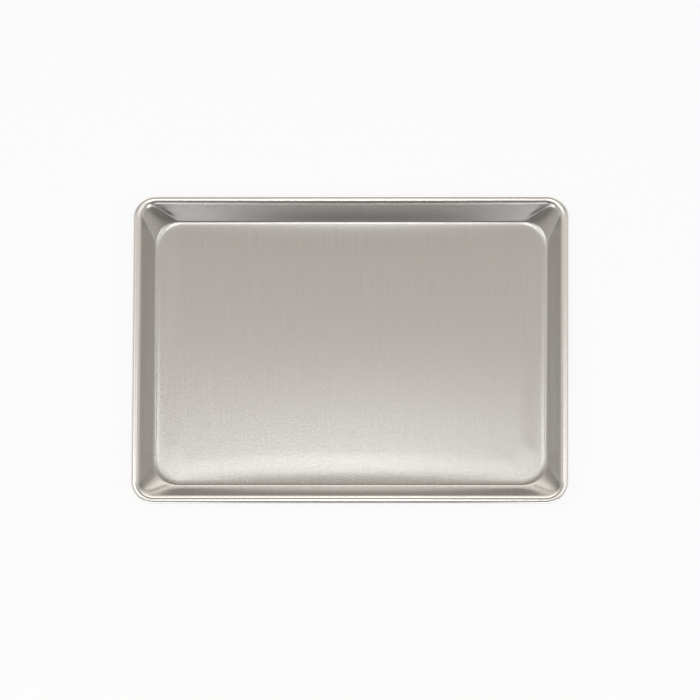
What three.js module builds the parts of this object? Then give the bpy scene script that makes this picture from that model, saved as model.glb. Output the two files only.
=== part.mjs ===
// Half-size sheet pan: one drawn aluminium sheet with sloping walls, whose rim is rolled outwards
// over a bent steel wire. Millimetres, +Z up, the long sides along X. The origin is the middle of
// the underside.

import * as THREE from 'three';

const { clamp, degToRad } = THREE.MathUtils;

// Driving dimensions
const PAN_LENGTH = 454; // along X, outside of the rim
const PAN_WIDTH = 327; // along Y, outside of the rim
const PAN_HEIGHT = 25.4; // underside of the floor to the top of the rim
const SHEET_THICKNESS = 1.0;
const WALL_SLOPE = degToRad(34.5); // lean of the walls from upright
const RIM_CORNER_RADIUS = 24; // outside of the rim, seen from above
const FLOOR_CORNER_SETBACK = 52; // outside of the rim to the centres of the floor's corners
const CORNER_EASE = 1.3; // power with which the corner centres move in from the rim to the floor
const FLOOR_BEND_RADIUS = 6; // inside of the bend between floor and walls
const SHOULDER_RADIUS = 7.5; // top of the bend between walls and roll
const SHOULDER_SLOPE = degToRad(20); // fall of the sheet where the shoulder runs into the roll
const WIRE_DIAMETER = 5;
const WIRE_CLEARANCE = 0.2; // between the wire and the sheet rolled over it
const WIRE_END_GAP = 0.8; // between the two ends of the wire
const ROLL_EDGE_GAP = 0.5; // between the rolled edge and the outside of the wall

// Fineness of the round stretches
const CORNER_STEPS = 10;
const BEND_STEPS = 4;
const WALL_STEPS = 4;
const SHOULDER_STEPS = 3;
const ROLL_STEP = degToRad(22.5);
const WIRE_SIDES = 12;

// The section lies in a plane of insets, which run inwards from the outside of the rim, and heights.
// Directions in it are angles from straight outwards, turning upwards.
const wireRadius = WIRE_DIAMETER / 2;
const rollRadius = wireRadius + WIRE_CLEARANCE + SHEET_THICKNESS;
const wireCentre = new THREE.Vector2(rollRadius, PAN_HEIGHT - rollRadius);
const rollStart = Math.PI / 2 + SHOULDER_SLOPE;
const wallHeadTurn = Math.PI - WALL_SLOPE;

// The shoulder runs on into the roll, and the wall hangs from the shoulder.
const shoulderCentre = wireCentre.clone().addScaledVector(spoke(rollStart), rollRadius - SHOULDER_RADIUS);
const wallHead = shoulderCentre.clone().addScaledVector(spoke(wallHeadTurn), SHOULDER_RADIUS);

// The rolled edge stops short of the outside of the wall.
const wallDistance = wallHead.clone().sub(wireCentre).dot(spoke(wallHeadTurn));
const edgeReach = (wallDistance - SHEET_THICKNESS - ROLL_EDGE_GAP) / rollRadius;
const rollEnd = wallHeadTurn + Math.acos(edgeReach) - 2 * Math.PI;

// The bend touches the floor and the inside of the wall.
const bendHeight = SHEET_THICKNESS + FLOOR_BEND_RADIUS;
const wallFall = (wallHead.y - bendHeight) * Math.tan(WALL_SLOPE);
const bendCentre = new THREE.Vector2(
  wallHead.x + wallFall + FLOOR_BEND_RADIUS / Math.cos(WALL_SLOPE),
  bendHeight,
);

// A direction of length 1 in the plane of the section.
function spoke(angle) {
  return new THREE.Vector2(-Math.cos(angle), Math.sin(angle));
}

function evenSteps(from, to, steps) {
  return Array.from({ length: steps + 1 }, (_, step) => from + ((to - from) * step) / steps);
}

// The roll passes its highest, outermost and lowest points on the way from the shoulder to its edge.
function rollAngles() {
  const angles = [rollStart];
  for (const stop of [Math.PI / 2, 0, -Math.PI / 2, rollEnd]) {
    const from = angles.at(-1);
    angles.push(...evenSteps(from, stop, Math.ceil((from - stop) / ROLL_STEP)).slice(1));
  }
  return angles;
}

// Round levels of the sheet: a point on its upper face and the point beneath it on its other face.
// The sheet lies outside of the arc (1) or inside of it (-1).
function roundLevels(centre, radius, angles, sheetSide) {
  return angles.map((angle) => ({
    upper: centre.clone().addScaledVector(spoke(angle), radius),
    under: centre.clone().addScaledVector(spoke(angle), radius + sheetSide * SHEET_THICKNESS),
  }));
}

// Levels of the sheet from the edge of the floor to the rolled edge, each with the distance from the
// outside of the rim to its corner centres, which lie further in towards the floor.
function sheetLevels() {
  const bend = roundLevels(bendCentre, FLOOR_BEND_RADIUS, evenSteps(-Math.PI / 2, -WALL_SLOPE, BEND_STEPS), 1);
  const shoulderTurns = evenSteps(wallHeadTurn, rollStart, SHOULDER_STEPS);
  const shoulder = roundLevels(shoulderCentre, SHOULDER_RADIUS, shoulderTurns, -1);
  const roll = roundLevels(wireCentre, rollRadius, rollAngles(), -1).slice(1);
  const foot = bend.at(-1);
  const head = shoulder[0];
  const wall = evenSteps(0, 1, WALL_STEPS).slice(1, -1).map((share) => ({
    upper: foot.upper.clone().lerp(head.upper, share),
    under: foot.under.clone().lerp(head.under, share),
  }));
  return [
    ...[...bend, ...wall].map((level) => ({ ...level, setback: cornerSetback(level.upper.y) })),
    ...[...shoulder, ...roll].map((level) => ({ ...level, setback: RIM_CORNER_RADIUS })),
  ];
}

function cornerSetback(height) {
  const depth = clamp((wallHead.y - height) / (wallHead.y - SHEET_THICKNESS), 0, 1);
  return RIM_CORNER_RADIUS + (FLOOR_CORNER_SETBACK - RIM_CORNER_RADIUS) * depth ** CORNER_EASE;
}

// Stations round the pan, counter-clockwise from the middle of the back: a quarter turn at each
// corner, where the signs pick the corner and the direction points outwards.
function cornerStations(corner) {
  const middle = (corner + 0.5) * (Math.PI / 2);
  return evenSteps(corner, corner + 1, CORNER_STEPS).map((quarters) => ({
    signX: Math.sign(Math.cos(middle)),
    signY: Math.sign(Math.sin(middle)),
    outX: Math.cos(quarters * (Math.PI / 2)),
    outY: Math.sin(quarters * (Math.PI / 2)),
  }));
}

const STATIONS = [1, 2, 3, 4].flatMap(cornerStations);

// A point of the section carried to a station, on a rounded rectangle with the given corner centres.
function pointAt(station, { x: inset, y: height }, setback) {
  const cornerRadius = setback - inset;
  return new THREE.Vector3(
    station.signX * (PAN_LENGTH / 2 - setback) + station.outX * cornerRadius,
    station.signY * (PAN_WIDTH / 2 - setback) + station.outY * cornerRadius,
    height,
  );
}

// Joins rings of equally many points, one to the next, and closes the first and the last ring.
function skinRings(rings) {
  const count = rings[0].length;
  const points = rings.flat();
  const triangles = [];
  for (let ring = 0; ring + 1 < rings.length; ring += 1) {
    for (let index = 0; index < count; index += 1) {
      const next = (index + 1) % count;
      const here = ring * count;
      const above = here + count;
      triangles.push(here + index, above + index, here + next);
      triangles.push(here + next, above + index, above + next);
    }
  }
  const last = (rings.length - 1) * count;
  const firstCentre = points.push(middleOf(rings[0])) - 1;
  const lastCentre = points.push(middleOf(rings.at(-1))) - 1;
  for (let index = 0; index < count; index += 1) {
    const next = (index + 1) % count;
    triangles.push(firstCentre, index, next);
    triangles.push(lastCentre, last + next, last + index);
  }
  const geometry = new THREE.BufferGeometry().setFromPoints(points);
  geometry.setIndex(triangles);
  geometry.computeVertexNormals();
  return geometry;
}

function middleOf(ring) {
  const sum = ring.reduce((total, point) => total.add(point), new THREE.Vector3());
  return sum.divideScalar(ring.length);
}

// The sheet: from the floor up the inside and over the roll to its edge, then back underneath.
function panBody() {
  const levels = sheetLevels();
  const upperRings = levels.map(({ upper, setback }) => STATIONS.map((at) => pointAt(at, upper, setback)));
  const underRings = levels.map(({ under, setback }) => STATIONS.map((at) => pointAt(at, under, setback)));
  const aluminium = new THREE.MeshStandardMaterial({ color: 0xd6d3ce, roughness: 0.35, metalness: 1 });
  const mesh = new THREE.Mesh(skinRings([...upperRings, ...underRings.reverse()]), aluminium);
  mesh.name = 'pan_body';
  return mesh;
}

// The wire: from its first end at the middle of the back, once round the pan, to its other end.
function rimWire() {
  const backY = PAN_WIDTH / 2 - wireCentre.x;
  const backOut = new THREE.Vector3(0, 1, 0);
  const places = [
    { centre: new THREE.Vector3(-WIRE_END_GAP / 2, backY, wireCentre.y), out: backOut },
    ...STATIONS.map((station) => ({
      centre: pointAt(station, wireCentre, RIM_CORNER_RADIUS),
      out: new THREE.Vector3(station.outX, station.outY, 0),
    })),
    { centre: new THREE.Vector3(WIRE_END_GAP / 2, backY, wireCentre.y), out: backOut },
  ];
  const turns = evenSteps(0, 2 * Math.PI, WIRE_SIDES).slice(0, WIRE_SIDES);
  const rings = places.map(({ centre, out }) =>
    turns.map((turn) => {
      const point = centre.clone().addScaledVector(out, wireRadius * Math.cos(turn));
      point.z += wireRadius * Math.sin(turn);
      return point;
    }),
  );
  const steel = new THREE.MeshStandardMaterial({ color: 0x9a9c9e, roughness: 0.45, metalness: 1 });
  const mesh = new THREE.Mesh(skinRings(rings), steel);
  mesh.name = 'rim_wire';
  return mesh;
}

const sheetPan = new THREE.Group();
sheetPan.add(panBody(), rimWire());

export default sheetPan;
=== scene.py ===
import math

import bpy
from mathutils import Matrix, Vector


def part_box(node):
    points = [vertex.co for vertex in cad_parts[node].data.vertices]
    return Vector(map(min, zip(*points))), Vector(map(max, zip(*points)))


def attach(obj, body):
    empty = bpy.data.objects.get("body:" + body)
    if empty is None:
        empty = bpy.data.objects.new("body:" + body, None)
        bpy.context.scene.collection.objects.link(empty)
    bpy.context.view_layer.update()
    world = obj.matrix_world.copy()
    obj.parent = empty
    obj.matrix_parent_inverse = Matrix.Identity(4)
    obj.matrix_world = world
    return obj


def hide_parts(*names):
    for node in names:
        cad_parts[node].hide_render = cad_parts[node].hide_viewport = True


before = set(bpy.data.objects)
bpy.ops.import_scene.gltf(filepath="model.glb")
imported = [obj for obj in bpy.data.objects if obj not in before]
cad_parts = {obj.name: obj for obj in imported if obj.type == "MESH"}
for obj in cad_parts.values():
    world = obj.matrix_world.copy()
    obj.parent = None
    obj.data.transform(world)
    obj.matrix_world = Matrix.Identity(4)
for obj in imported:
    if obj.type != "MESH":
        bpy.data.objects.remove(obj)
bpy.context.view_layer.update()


# Camera
# A long lens looks steeply down on the pan, from in front of its near long side and a little from
# the right, turned so that the long sides lie level in the picture.
MM = 0.001
CAMERA_TILT = math.radians(12)
CAMERA_SIDE = math.radians(1.5)
CAMERA_DISTANCE = 12.0
SENSOR_WIDTH = 36.0
VIEW_WIDTH = 727.0 * MM
AIM = Vector((-0.4, -0.6, 21.7)) * MM

scene = bpy.context.scene
camera_data = bpy.data.cameras.new("camera")
camera_data.sensor_width = SENSOR_WIDTH
camera_data.lens = SENSOR_WIDTH * CAMERA_DISTANCE / VIEW_WIDTH
camera_data.clip_end = 2 * CAMERA_DISTANCE
camera = bpy.data.objects.new("camera", camera_data)
to_camera = Vector((math.tan(CAMERA_SIDE), -math.tan(CAMERA_TILT), 1)).normalized()
image_right = (Vector((1, 0, 0)) - to_camera * to_camera.x).normalized()
image_up = to_camera.cross(image_right)
camera.location = AIM + CAMERA_DISTANCE * to_camera
camera.rotation_euler = Matrix((image_right, image_up, to_camera)).transposed().to_euler()
scene.collection.objects.link(camera)
scene.camera = camera


# Pan body
# One sheet of bare aluminium, drawn in a press into a flat floor and sloping walls with round
# corners. Its rim is rolled outwards over the wire.
pan_low, pan_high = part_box("pan_body")
PAN_SIZE = pan_high - pan_low
SHEET = 1.0 * MM
WALL_SLOPE = math.radians(34.5)
RIM_CORNER = 24 * MM
FLOOR_CORNER = 52 * MM
CORNER_EASE = 1.3
BEND_RADIUS = 6 * MM
SHOULDER_RADIUS = 7.5 * MM
SHOULDER_SLOPE = math.radians(20)
WIRE_RADIUS = 2.5 * MM
WIRE_CLEARANCE = 0.2 * MM
ROLL_EDGE_GAP = 0.5 * MM
STATIONS = 320
SHARP_ANGLE = math.radians(50)

# The floor lifts towards its bends: narrowly near the corners, widely along the middle of the long
# sides. Its middle lies a little higher than the trough behind the lift.
LIFT_SLOPE = math.radians(6)
NARROW_LIFT = 4 * MM
WIDE_LIFT = 13 * MM
CROWN = 0.25 * MM
CROWN_REACH = 22 * MM

# The metal gathers into shallow creases beside the corners, deepest half-way up the walls.
CREASE = 0.4 * MM

ROLL_INNER = WIRE_RADIUS + WIRE_CLEARANCE
ROLL_OUTER = ROLL_INNER + SHEET
WIRE_INSET = ROLL_OUTER
WIRE_HEIGHT = PAN_SIZE.z - ROLL_OUTER


def even_steps(start, end, steps):
    return [start + (end - start) * step / steps for step in range(steps + 1)]


def arc(centre, radius, start, end, steps):
    """Points (inset, height) on an arc, whose angles turn upwards from straight outwards."""
    inset, height = centre
    return [
        (inset - radius * math.cos(angle), height + radius * math.sin(angle))
        for angle in even_steps(start, end, steps)
    ]


def floor_rise(distance, lift_reach):
    """Height of the floor above its trough, at a distance from the bend."""
    lift = max(0, 1 - distance / lift_reach) ** 2 * lift_reach * math.tan(LIFT_SLOPE) / 2
    share = min(max((distance - lift_reach) / CROWN_REACH, 0), 1)
    return lift + CROWN * share**2 * (3 - 2 * share)


def pan_section():
    """Points on the upper face of the sheet, from the middle of the floor out to the rolled edge,
    as (inset from the outside of the rim, radius of the pan's corners there, height), how much each
    point lies higher in the middle of the long sides, and how deep it is creased at the corners."""
    wall_head_turn = math.pi - WALL_SLOPE
    roll_start = math.pi / 2 + SHOULDER_SLOPE
    shoulder_gap = SHOULDER_RADIUS - ROLL_OUTER
    shoulder_inset = WIRE_INSET + shoulder_gap * math.cos(roll_start)
    shoulder_height = WIRE_HEIGHT - shoulder_gap * math.sin(roll_start)
    shoulder = arc((shoulder_inset, shoulder_height), SHOULDER_RADIUS, wall_head_turn, roll_start, 12)
    head_inset, head_height = shoulder[0]

    # The rolled edge stops just short of the outside of the wall.
    wall_distance = (head_inset - WIRE_INSET) * math.cos(WALL_SLOPE)
    wall_distance += (head_height - WIRE_HEIGHT) * math.sin(WALL_SLOPE)
    edge_reach = (wall_distance - SHEET - ROLL_EDGE_GAP) / ROLL_OUTER
    roll_end = wall_head_turn + math.acos(edge_reach) - 2 * math.pi
    roll = arc((WIRE_INSET, WIRE_HEIGHT), ROLL_OUTER, roll_start, roll_end, 40)

    # The bend turns from the lifted floor up to the slope of the wall.
    foot_rise = floor_rise(0, NARROW_LIFT)
    bend_height = SHEET + foot_rise + BEND_RADIUS * math.cos(LIFT_SLOPE)
    wall_line = head_inset * math.cos(WALL_SLOPE) + head_height * math.sin(WALL_SLOPE)
    bend_inset = (wall_line + BEND_RADIUS - bend_height * math.sin(WALL_SLOPE)) / math.cos(WALL_SLOPE)
    bend = arc((bend_inset, bend_height), BEND_RADIUS, LIFT_SLOPE - math.pi / 2, -WALL_SLOPE, 14)
    foot = Vector(bend[-1])
    wall = [tuple(foot.lerp(Vector(shoulder[0]), share)) for share in even_steps(0, 1, 16)]

    # The corners' centres lie further in towards the floor.
    def corner_radius(inset, height):
        depth = min(max((head_height - height) / (head_height - SHEET), 0), 1)
        return RIM_CORNER + (FLOOR_CORNER - RIM_CORNER) * depth**CORNER_EASE - inset

    # On the floor they keep their place near the bend, and the corners tighten towards the middle.
    floor_edge = bend[0][0]
    edge_corner = corner_radius(floor_edge, SHEET + foot_rise)
    uneven_reach = WIDE_LIFT + CROWN_REACH
    flat_edge = floor_edge + uneven_reach
    flat_corner = edge_corner**2 / (edge_corner + uneven_reach)
    middle = PAN_SIZE.y / 2
    points = [
        (middle + (flat_edge - middle) * share, flat_corner * share, SHEET + CROWN)
        for share in even_steps(0, 1, 6)
    ]
    springs = [0.0] * len(points)
    for share in even_steps(0, 1, 36)[1:]:
        distance = uneven_reach * (1 - share) ** 1.5
        rise = floor_rise(distance, NARROW_LIFT)
        tightened = edge_corner**2 / (edge_corner + distance)
        points.append((floor_edge + distance, tightened, SHEET + rise))
        springs.append(floor_rise(distance, WIDE_LIFT) - rise)
    foot_spring = springs[-1]
    for inset, height in bend[1:]:
        points.append((inset, corner_radius(inset, height), height))
        springs.append(foot_spring)
    for inset, height in wall[1:]:
        points.append((inset, corner_radius(inset, height), height))
        springs.append(foot_spring * (head_height - height) / (head_height - foot.y))
    for inset, height in shoulder[1:] + roll[1:]:
        points.append((inset, RIM_CORNER - inset, height))
        springs.append(0.0)
    creases = [0.0] * len(points)
    wall_end = len(points) - len(shoulder[1:] + roll[1:])
    for step in range(1, len(wall)):
        creases[wall_end - len(wall) + step] = CREASE * math.sin(math.pi * step / (len(wall) - 1))
    return points, springs, creases


def add_node(tree, kind, inputs=None, **settings):
    """A new node with its settings, and each input linked to a socket or set to a value."""
    node = tree.nodes.new(kind)
    for name, value in settings.items():
        setattr(node, name, value)
    for name, source in (inputs or {}).items():
        if isinstance(source, bpy.types.NodeSocket):
            tree.links.new(source, node.inputs[name])
        else:
            node.inputs[name].default_value = source
    return node


def vector_math(tree, operation, *inputs):
    node = add_node(tree, "ShaderNodeVectorMath", dict(enumerate(inputs)), operation=operation)
    return node.outputs["Value" if operation == "DOT_PRODUCT" else "Vector"]


def scalar_math(tree, operation, *inputs):
    node = add_node(tree, "ShaderNodeMath", dict(enumerate(inputs)), operation=operation)
    return node.outputs["Value"]


def captured(tree, geometry, source):
    """A geometry that remembers a vector at each of its points, and that vector."""
    node = add_node(tree, "GeometryNodeCaptureAttribute")
    node.capture_items.new("VECTOR", "Vector")
    tree.links.new(geometry, node.inputs["Geometry"])
    tree.links.new(source, node.inputs["Vector"])
    return node.outputs["Geometry"], node.outputs["Vector"]


def sweep_tree():
    """Sweeps a section round a rectangle whose corners have the section's own radius at each point."""
    tree = bpy.data.node_groups.new("sweep_round_pan", "GeometryNodeTree")
    tree.is_modifier = True
    face = tree.interface
    face.new_socket("Section", in_out="INPUT", socket_type="NodeSocketGeometry")
    face.new_socket("Half Size", in_out="INPUT", socket_type="NodeSocketVector")
    face.new_socket("Stations", in_out="INPUT", socket_type="NodeSocketInt")
    face.new_socket("Material", in_out="INPUT", socket_type="NodeSocketMaterial")
    face.new_socket("Sheet", in_out="OUTPUT", socket_type="NodeSocketGeometry")
    given = tree.nodes.new("NodeGroupInput").outputs

    # A square whose corner centres lie at 1 and whose quarter turns are as long as its sides.
    turn_radius = 4 / math.pi
    width = 2 + 2 * turn_radius
    square = add_node(tree, "GeometryNodeCurvePrimitiveQuadrilateral", {"Width": width, "Height": width})
    rounded = add_node(
        tree,
        "GeometryNodeFilletCurve",
        {"Curve": square.outputs["Curve"], "Radius": turn_radius, "Count": 128},
        mode="POLY",
    )
    stations = add_node(
        tree,
        "GeometryNodeResampleCurve",
        {"Curve": rounded.outputs["Curve"], "Count": given["Stations"]},
        mode="COUNT",
    )
    line = add_node(tree, "GeometryNodeMeshToCurve", {"Mesh": given["Section"]})
    position = tree.nodes.new("GeometryNodeInputPosition").outputs["Position"]
    path, place = captured(tree, stations.outputs["Curve"], position)
    profile, section = captured(tree, line.outputs["Curve"], position)
    swept = add_node(tree, "GeometryNodeCurveToMesh", {"Curve": path, "Profile Curve": profile})

    # A point lies at its corner centre, pulled in by the inset and the radius, plus the radius outwards.
    part = add_node(tree, "ShaderNodeSeparateXYZ", {"Vector": section}).outputs
    side = vector_math(tree, "MAXIMUM", vector_math(tree, "MINIMUM", place, (1, 1, 0)), (-1, -1, 0))
    outwards = vector_math(tree, "NORMALIZE", vector_math(tree, "SUBTRACT", place, side))
    pulled_in = scalar_math(tree, "ADD", part["X"], part["Y"])
    centre = vector_math(tree, "SUBTRACT", given["Half Size"], pulled_in)

    # The spring is full in the middle of the long sides and fades towards their ends.
    along = add_node(tree, "ShaderNodeSeparateXYZ", {"Vector": side}).outputs["X"]
    fade = scalar_math(tree, "SUBTRACT", 1.0, scalar_math(tree, "POWER", along, 2.0))
    spring = add_node(tree, "GeometryNodeInputNamedAttribute", {"Name": "spring"}, data_type="FLOAT")
    lifted = scalar_math(tree, "MULTIPLY_ADD", spring.outputs["Attribute"], fade, part["Z"])
    height = add_node(tree, "ShaderNodeCombineXYZ", {"Z": lifted}).outputs["Vector"]

    # The creases ripple on both sides of each corner, more at the back than at the front.
    turn = add_node(tree, "ShaderNodeSeparateXYZ", {"Vector": outwards}).outputs
    roundness = scalar_math(tree, "ABSOLUTE", scalar_math(tree, "MULTIPLY", turn["X"], turn["Y"]))
    ripple = scalar_math(tree, "SINE", scalar_math(tree, "MULTIPLY", roundness, 4 * math.pi))
    back = scalar_math(tree, "MULTIPLY_ADD", turn["Y"], 0.5, 0.5)
    crease = add_node(tree, "GeometryNodeInputNamedAttribute", {"Name": "crease"}, data_type="FLOAT")
    wave = scalar_math(tree, "MULTIPLY", ripple, back)
    gathered = scalar_math(tree, "MULTIPLY", crease.outputs["Attribute"], wave)
    reach = scalar_math(tree, "ADD", part["Y"], gathered)
    radius = add_node(tree, "ShaderNodeCombineXYZ", {"X": reach, "Y": reach}).outputs["Vector"]
    on_arc = vector_math(tree, "MULTIPLY_ADD", outwards, radius, height)
    target = vector_math(tree, "MULTIPLY_ADD", side, centre, on_arc)
    placed = add_node(
        tree, "GeometryNodeSetPosition", {"Geometry": swept.outputs["Mesh"], "Position": target}
    )
    welded = add_node(
        tree, "GeometryNodeMergeByDistance", {"Geometry": placed.outputs["Geometry"], "Distance": 0.05 * MM}
    )
    smooth = add_node(tree, "GeometryNodeSetShadeSmooth", {"Geometry": welded.outputs["Geometry"]})
    plain = smooth
    for name in ("spring", "crease"):
        plain = add_node(
            tree, "GeometryNodeRemoveAttribute", {"Geometry": plain.outputs["Geometry"], "Name": name}
        )
    real = add_node(tree, "GeometryNodeRealizeInstances", {"Geometry": plain.outputs["Geometry"]})
    painted = add_node(
        tree,
        "GeometryNodeSetMaterial",
        {"Geometry": real.outputs["Geometry"], "Material": given["Material"]},
    )
    add_node(tree, "NodeGroupOutput", {"Sheet": painted.outputs["Geometry"]})
    return tree


def set_inputs(modifier, **values):
    """Sets a tree's named inputs on its modifier, by the identifiers of their sockets."""
    for item in modifier.node_group.interface.items_tree:
        name = item.name.replace(" ", "_")
        if item.in_out == "INPUT" and name in values:
            modifier[item.identifier] = values[name]


def made_plain(maker, name):
    """The evaluated shape of an object as a plain mesh object, in place of the object."""
    shape = maker.evaluated_get(bpy.context.evaluated_depsgraph_get())
    mesh = bpy.data.meshes.new_from_object(shape)
    bpy.data.objects.remove(maker)
    mesh.name = name
    mesh.set_sharp_from_angle(angle=SHARP_ANGLE)
    piece = bpy.data.objects.new(name, mesh)
    scene.collection.objects.link(piece)
    return piece


def eased(tree, value, start, end, low, high):
    """A value between two levels that changes smoothly from start to end."""
    return add_node(
        tree,
        "ShaderNodeMapRange",
        {"Value": value, "From Min": start, "From Max": end, "To Min": low, "To Max": high},
        interpolation_type="SMOOTHSTEP",
    ).outputs["Result"]


def stretched_noise(tree, place, scale, detail=0.0):
    """Noise from 0 to 1 whose grains are as many to the metre, along each axis, as the scale says."""
    spread = vector_math(tree, "MULTIPLY", place, scale)
    noise = add_node(tree, "ShaderNodeTexNoise", {"Vector": spread, "Scale": 1.0, "Detail": detail})
    return noise.outputs["Fac"]


def sheet_aluminium():
    """Bare rolled aluminium: dull, grained and speckled on the floor, with painted glints at the
    front-left, and burnished on the rolled rim, whose paler colour is partly painted highlight.
    """
    material = bpy.data.materials.new("sheet_aluminium")
    material.use_nodes = True
    tree = material.node_tree
    shader = tree.nodes["Principled BSDF"]
    shader.inputs["Metallic"].default_value = 1.0
    shader.inputs["Anisotropic"].default_value = 0.75
    coordinates = tree.nodes.new("ShaderNodeTexCoord").outputs
    place = coordinates["Object"]
    height = add_node(tree, "ShaderNodeSeparateXYZ", {"Vector": place}).outputs["Z"]

    # Light spreads across the rolling on the flat floor, and lengthwise on bends, walls and rim.
    flat_share = 0.07
    lean = add_node(tree, "ShaderNodeSeparateXYZ", {"Vector": coordinates["Normal"]}).outputs
    crosswise = scalar_math(tree, "ADD", scalar_math(tree, "ABSOLUTE", lean["Y"]), flat_share)
    faces_front = scalar_math(tree, "LESS_THAN", lean["Y"], 0.0)
    forwards = scalar_math(tree, "MULTIPLY_ADD", faces_front, 2.0, -1.0)
    lengthwise = scalar_math(tree, "MULTIPLY", lean["X"], forwards)
    spread = add_node(tree, "ShaderNodeCombineXYZ", {"X": crosswise, "Y": lengthwise}).outputs["Vector"]
    tree.links.new(spread, shader.inputs["Tangent"])

    # Tone: bright flecks, a random speckle crowded towards the front-left as painted glints where the light
    # falls, streaks along the rolling, and a pale rim that is partly burnish and partly painted highlight.
    front_left = vector_math(tree, "DOT_PRODUCT", place, (-0.25, -1, 0))
    flecks = eased(tree, stretched_noise(tree, place, (800, 800, 800)), 0.6, 0.72, 0.0, 1.0)
    # The fleck density rises towards the front-left: painted glints where the floor's highlight lies, over
    # an even random speckle.
    speckle_and_glint_density = eased(tree, front_left, -80 * MM, 140 * MM, 0.08, 0.6)
    speckle_and_glint_density = scalar_math(tree, "MULTIPLY", speckle_and_glint_density, eased(tree, height, 1.5 * MM, 5 * MM, 1.0, 0.1))
    streaks = stretched_noise(tree, place, (700, 20, 100), detail=1.0)
    bright = scalar_math(tree, "MULTIPLY_ADD", flecks, speckle_and_glint_density, scalar_math(tree, "MULTIPLY", streaks, 0.2))
    dull = add_node(tree, "ShaderNodeMix", {0: bright}, data_type="RGBA")
    dull.inputs[6].default_value = (0.62, 0.615, 0.61, 1)
    dull.inputs[7].default_value = (0.86, 0.855, 0.85, 1)
    # The rim's paler colour is partly burnish and partly painted highlight, which lifts its tone towards
    # the bright reflections on the rolled edge.
    rim = eased(tree, height, 20 * MM, 23 * MM, 0.0, 1.0)
    colour = add_node(tree, "ShaderNodeMix", {0: rim, 6: dull.outputs[2]}, data_type="RGBA")
    colour.inputs[7].default_value = (0.88, 0.875, 0.87, 1)
    tree.links.new(colour.outputs[2], shader.inputs["Base Color"])

    # Gloss: the drawn walls and the rim are smoother than the floor.
    tree.links.new(eased(tree, height, 1.5 * MM, 5 * MM, 0.27, 0.2), shader.inputs["Roughness"])

    # Relief: fine pits and rolling grain, which fade out up the walls.
    pits = stretched_noise(tree, place, (620, 620, 620))
    grain = stretched_noise(tree, place, (1500, 60, 100))
    relief = scalar_math(tree, "MULTIPLY_ADD", grain, 0.5, pits)
    depth = eased(tree, height, 1.5 * MM, 6 * MM, 1.0, 0.3)
    bump = add_node(tree, "ShaderNodeBump", {"Strength": depth, "Distance": 0.012 * MM, "Height": relief})
    tree.links.new(bump.outputs["Normal"], shader.inputs["Normal"])
    return material


section_points, section_springs, section_creases = pan_section()
section_mesh = bpy.data.meshes.new("pan_section")
section_mesh.from_pydata(section_points, [(i, i + 1) for i in range(len(section_points) - 1)], [])
section_mesh.attributes.new("spring", "FLOAT", "POINT").data.foreach_set("value", section_springs)
section_mesh.attributes.new("crease", "FLOAT", "POINT").data.foreach_set("value", section_creases)
pan_maker = bpy.data.objects.new("pan_maker", section_mesh)
scene.collection.objects.link(pan_maker)
sweep = pan_maker.modifiers.new("sweep", "NODES")
sweep.node_group = sweep_tree()
set_inputs(
    sweep,
    Half_Size=(PAN_SIZE.x / 2, PAN_SIZE.y / 2, 0),
    Stations=STATIONS,
    Material=sheet_aluminium(),
)
thicken = pan_maker.modifiers.new("thicken", "SOLIDIFY")
thicken.thickness = SHEET
thicken.offset = -1
thicken.use_even_offset = True
pan = made_plain(pan_maker, "pan")
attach(pan, "root")
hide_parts("pan_body")


# Rim wire
# One length of round galvanised steel wire, bent to the shape of the rim and rolled into it. Its
# ends butt in the middle of the back.
WIRE_END_GAP = 0.8 * MM
WIRE_CORNER_STEPS = 24


def wire_path():
    """Points along the middle of the wire, from one end round the pan to the other."""
    radius = RIM_CORNER - WIRE_INSET
    far_x = PAN_SIZE.x / 2 - RIM_CORNER
    far_y = PAN_SIZE.y / 2 - RIM_CORNER
    points = [(-WIRE_END_GAP / 2, far_y + radius)]
    corners = ((-far_x, far_y), (-far_x, -far_y), (far_x, -far_y), (far_x, far_y))
    for quarter, (x, y) in enumerate(corners, 1):
        for turn in even_steps(quarter, quarter + 1, WIRE_CORNER_STEPS):
            angle = turn * math.pi / 2
            points.append((x + radius * math.cos(angle), y + radius * math.sin(angle)))
    points.append((WIRE_END_GAP / 2, far_y + radius))
    return points


def galvanised_steel():
    """Dull zinc with patches of large crystals."""
    material = bpy.data.materials.new("galvanised_steel")
    material.use_nodes = True
    tree = material.node_tree
    shader = tree.nodes["Principled BSDF"]
    shader.inputs["Metallic"].default_value = 1.0
    place = tree.nodes.new("ShaderNodeTexCoord").outputs["Object"]
    crystals = add_node(tree, "ShaderNodeTexVoronoi", {"Vector": place, "Scale": 400.0})
    shade = add_node(tree, "ShaderNodeSeparateColor", {"Color": crystals.outputs["Color"]}).outputs["Red"]
    zinc = add_node(tree, "ShaderNodeMix", {0: shade}, data_type="RGBA")
    zinc.inputs[6].default_value = (0.3, 0.305, 0.31, 1)
    zinc.inputs[7].default_value = (0.4, 0.405, 0.41, 1)
    tree.links.new(zinc.outputs[2], shader.inputs["Base Color"])
    tree.links.new(eased(tree, shade, 0.0, 1.0, 0.38, 0.5), shader.inputs["Roughness"])
    return material


wire_curve = bpy.data.curves.new("wire_path", "CURVE")
wire_curve.dimensions = "3D"
wire_curve.bevel_depth = WIRE_RADIUS
wire_curve.bevel_resolution = 4
wire_curve.use_fill_caps = True
wire_line = wire_curve.splines.new("POLY")
wire_points = wire_path()
wire_line.points.add(len(wire_points) - 1)
for point, (x, y) in zip(wire_line.points, wire_points):
    point.co = (x, y, WIRE_HEIGHT, 1)
wire_maker = bpy.data.objects.new("wire_maker", wire_curve)
scene.collection.objects.link(wire_maker)
wire = made_plain(wire_maker, "wire")
wire.data.materials.append(galvanised_steel())
wire.data.shade_smooth()
wire.data.set_sharp_from_angle(angle=SHARP_ANGLE)
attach(wire, "root")
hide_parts("rim_wire")


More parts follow.
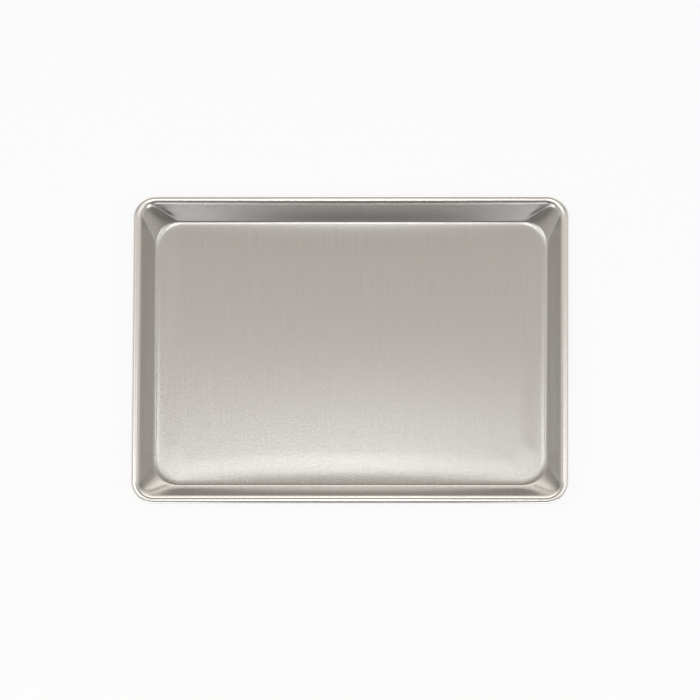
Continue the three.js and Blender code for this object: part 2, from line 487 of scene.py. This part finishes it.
# White floor
# A matt white surface that the pan stands on.
FLOOR_HALF = 6.0
FLOOR_GLOW = 0.9
floor_mesh = bpy.data.meshes.new("white_floor")
floor_corners = [(-FLOOR_HALF, -FLOOR_HALF), (FLOOR_HALF, -FLOOR_HALF)]
floor_corners += [(FLOOR_HALF, FLOOR_HALF), (-FLOOR_HALF, FLOOR_HALF)]
floor_mesh.from_pydata([(x, y, 0) for x, y in floor_corners], [], [(0, 1, 2, 3)])
white = bpy.data.materials.new("floor_white")
white.use_nodes = True
paper = white.node_tree
paper.nodes.clear()
matt = add_node(paper, "ShaderNodeBsdfDiffuse", {"Color": (0.95, 0.95, 0.95, 1)})
glow = add_node(paper, "ShaderNodeEmission", {"Color": (1, 1, 1, 1), "Strength": 1.0})
ray = paper.nodes.new("ShaderNodeLightPath").outputs
seen = scalar_math(paper, "MAXIMUM", ray["Is Camera Ray"], ray["Is Glossy Ray"])
seen = scalar_math(paper, "MAXIMUM", seen, ray["Is Transmission Ray"])
share = scalar_math(paper, "MULTIPLY", seen, FLOOR_GLOW)
blend = add_node(
    paper, "ShaderNodeMixShader", {0: share, 1: matt.outputs["BSDF"], 2: glow.outputs["Emission"]}
)
add_node(paper, "ShaderNodeOutputMaterial", {"Surface": blend.outputs["Shader"]})
floor_mesh.materials.append(white)
floor = bpy.data.objects.new("white_floor", floor_mesh)
scene.collection.objects.link(floor)


# Light
# Softbox panels hang over the pan in a pale room: a bright core, a panel on either side of it and,
# further out, wings that light the side rims. Low cards light the ends of the far wall.
def area_light(name, place, size, radiance, aim):
    """A rectangular lamp of even radiance, which the camera does not see."""
    data = bpy.data.lights.new(name, "AREA")
    data.shape = "RECTANGLE"
    data.size, data.size_y = size
    data.energy = radiance * math.pi * size[0] * size[1]
    lamp = bpy.data.objects.new(name, data)
    lamp.location = place
    lamp.rotation_euler = (Vector(aim) - Vector(place)).to_track_quat("-Z", "Y").to_euler()
    lamp.visible_camera = False
    scene.collection.objects.link(lamp)


SOFTBOX_HEIGHT = 1.2
SOFTBOX_FRONT = -0.75
for name, left, right, front, back, radiance in (
    ("softbox_left_wing", -1.2, -0.62, SOFTBOX_FRONT, 0.27, 1.2),
    ("softbox_left", -0.62, -0.07, SOFTBOX_FRONT, 0.12, 0.5),
    ("softbox_core", -0.07, 0.05, SOFTBOX_FRONT, 0.06, 4.4),
    ("softbox_core_back", -0.07, 0.05, 0.06, 0.2, 1.6),
    ("softbox_right", 0.05, 0.62, SOFTBOX_FRONT, 0.2, 0.1),
    ("softbox_right_wing", 0.62, 1.2, SOFTBOX_FRONT, 0.27, 1.0),
):
    middle = ((left + right) / 2, (front + back) / 2)
    size = (right - left, back - front)
    area_light(name, (*middle, SOFTBOX_HEIGHT), size, radiance, (*middle, 0))
CARD_SIZE = (0.34, 0.18)
for name, side, radiance in (("left_card", -1, 1.6), ("right_card", 1, 1.9)):
    place = (0.33 * side, -0.62, 0.1)
    aim = (0.2 * side, 0.1, 0.02)
    area_light(name, place, CARD_SIZE, radiance, aim)

# The room's level changes from the front, at -1, to the back. A strip low at the back glows, and
# shows in the near wall.
ROOM_TINT = (1, 0.94, 0.853)
ROOM_LEVELS = ((-1.0, 0.08), (-0.5, 0.48), (0.0, 0.61), (0.25, 0.65), (0.6, 0.335))
world = bpy.data.worlds.new("pale_room")
world.use_nodes = True
scene.world = world
room = world.node_tree
direction = add_node(
    room, "ShaderNodeSeparateXYZ", {"Vector": room.nodes.new("ShaderNodeTexCoord").outputs["Generated"]}
).outputs
depth = add_node(
    room, "ShaderNodeMapRange", {"Value": direction["Y"], "From Min": -1.0, "From Max": 1.0}
).outputs["Result"]
ramp = add_node(room, "ShaderNodeValToRGB", {"Fac": depth})
stops = ramp.color_ramp.elements
stops.remove(stops[1])
for index, (towards_back, level) in enumerate(ROOM_LEVELS):
    stop = stops.new((towards_back + 1) / 2) if index else stops[0]
    stop.color = (level, level, level, 1)
behind = eased(room, direction["Y"], 0.55, 0.95, 0.0, 1.05)
low = eased(room, direction["Z"], 0.38, 0.53, 1.0, 0.0)
level = scalar_math(room, "MULTIPLY_ADD", behind, low, ramp.outputs["Color"])
background = room.nodes["Background"]
background.inputs["Color"].default_value = (*ROOM_TINT, 1)
room.links.new(level, background.inputs["Strength"])

scene.view_settings.view_transform = "Standard"
